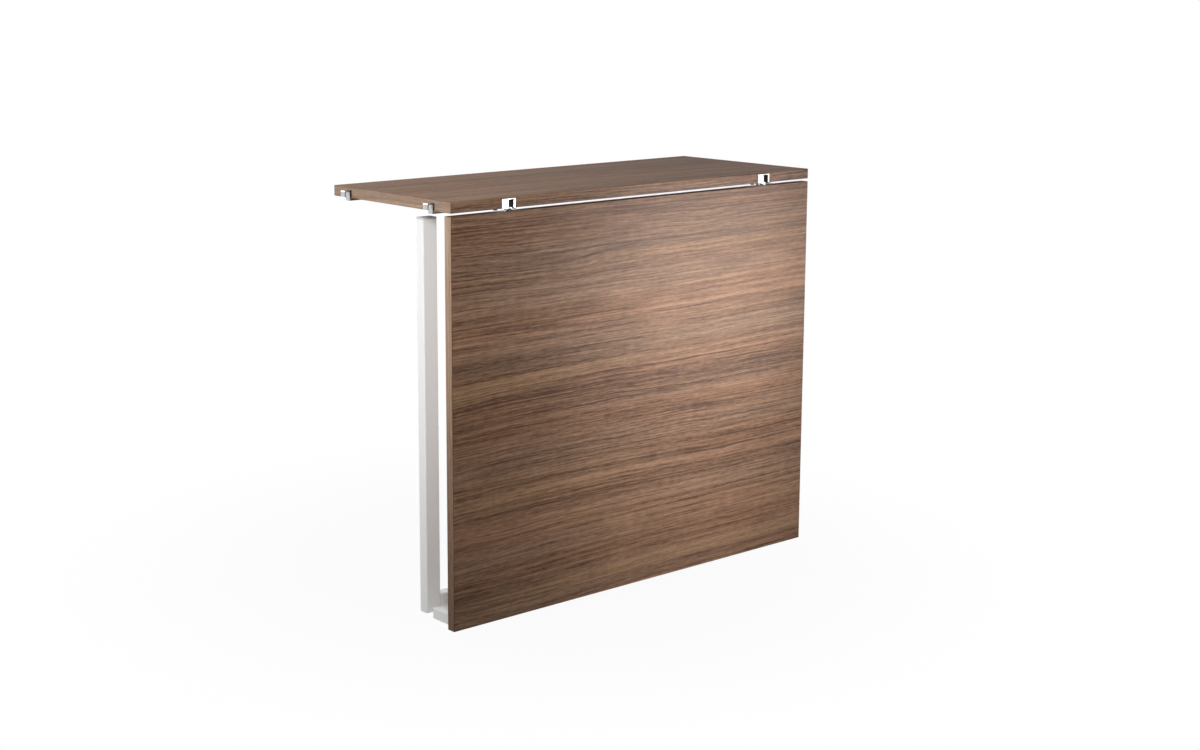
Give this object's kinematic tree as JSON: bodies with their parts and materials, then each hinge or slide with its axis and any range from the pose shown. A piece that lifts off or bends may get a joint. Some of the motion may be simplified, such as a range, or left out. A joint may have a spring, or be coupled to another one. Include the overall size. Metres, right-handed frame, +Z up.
{
  "type": "wall-mounted folding table",
  "caption": "Wall-hung folding table: a fixed wood shelf with end hooks, a drop flap on let-in front hinges and a folding U-shaped steel leg frame stowed behind the flap.",
  "frame": {"origin": "centre of the shelf's rear edge", "axes": "+X to the right along the shelf, +Y to the wall, +Z up; the flap hangs at the front, towards -Y"},
  "size_m": [0.801, 0.31, 0.667],
  "materials": {
    "walnut_veneer": "satin lacquered walnut veneer, grain along the width",
    "white_lacquer": "white satin powder coat",
    "white_lacquered_wood": "white satin lacquer",
    "bright_chrome": "polished",
    "bright_zinc": "bright zinc plating",
    "dark_steel": "black oxide",
    "black_plastic": "moulded, matt",
    "grey_plastic": "moulded, matt",
    "white_plastic": "moulded, satin"
  },
  "bodies": {
    "shelf": {"shelf_board": "walnut_veneer", "hinge_body_left": "bright_chrome", "hinge_body_right": "bright_chrome", "hinge_pin_left": "bright_zinc", "hinge_pin_right": "bright_zinc", "hinge_body_screw_1": "dark_steel", "hinge_body_screw_2": "dark_steel", "hinge_body_screw_3": "dark_steel", "hinge_body_screw_4": "dark_steel", "hook_front_left": "bright_zinc", "hook_rear_left": "bright_zinc", "hook_front_right": "bright_zinc", "hook_rear_right": "bright_zinc", "hook_screw_1": "bright_zinc", "hook_screw_2": "bright_zinc", "hook_screw_3": "bright_zinc", "hook_screw_4": "bright_zinc"},
    "flap": {"flap_board": "walnut_veneer", "hinge_eye_left": "black_plastic", "hinge_eye_right": "black_plastic", "hinge_plate_left": "bright_chrome", "hinge_plate_right": "bright_chrome", "hinge_plate_screw_1": "dark_steel", "hinge_plate_screw_2": "dark_steel", "hinge_plate_screw_3": "dark_steel", "hinge_plate_screw_4": "dark_steel", "leg_rail": "white_lacquered_wood", "rail_screw_1": "bright_zinc", "rail_screw_2": "bright_zinc", "rail_screw_3": "bright_zinc", "rail_screw_4": "bright_zinc", "rail_screw_5": "bright_zinc", "rail_leaf_left": "bright_zinc", "rail_leaf_right": "bright_zinc", "rail_leaf_screw_1": "bright_zinc", "rail_leaf_screw_2": "bright_zinc", "rail_leaf_screw_3": "bright_zinc", "rail_leaf_screw_4": "bright_zinc", "leg_hinge_pin_left": "bright_zinc", "leg_hinge_pin_right": "bright_zinc"},
    "leg": {"leg_crossbar": "white_lacquer", "leg_post_left": "white_lacquer", "leg_post_right": "white_lacquer", "foot_cap_left": "grey_plastic", "foot_cap_right": "grey_plastic", "post_plug_left": "white_plastic", "post_plug_right": "white_plastic", "bar_leaf_left": "bright_zinc", "bar_leaf_right": "bright_zinc", "bar_leaf_rivet_1": "bright_zinc", "bar_leaf_rivet_2": "bright_zinc", "bar_leaf_rivet_3": "bright_zinc", "bar_leaf_rivet_4": "bright_zinc"}
  },
  "joints": [
    {"name": "flap_hinge", "type": "hinge", "parent": "shelf", "child": "flap", "pos_m": [0, -0.3015, 0], "axis": [-1, 0, 0], "range_deg": [0, 90]},
    {"name": "leg_fold", "type": "hinge", "parent": "flap", "child": "leg", "pos_m": [0, -0.2327, -0.636], "axis": [-1, 0, 0], "range_deg": [0, 90]}
  ]
}
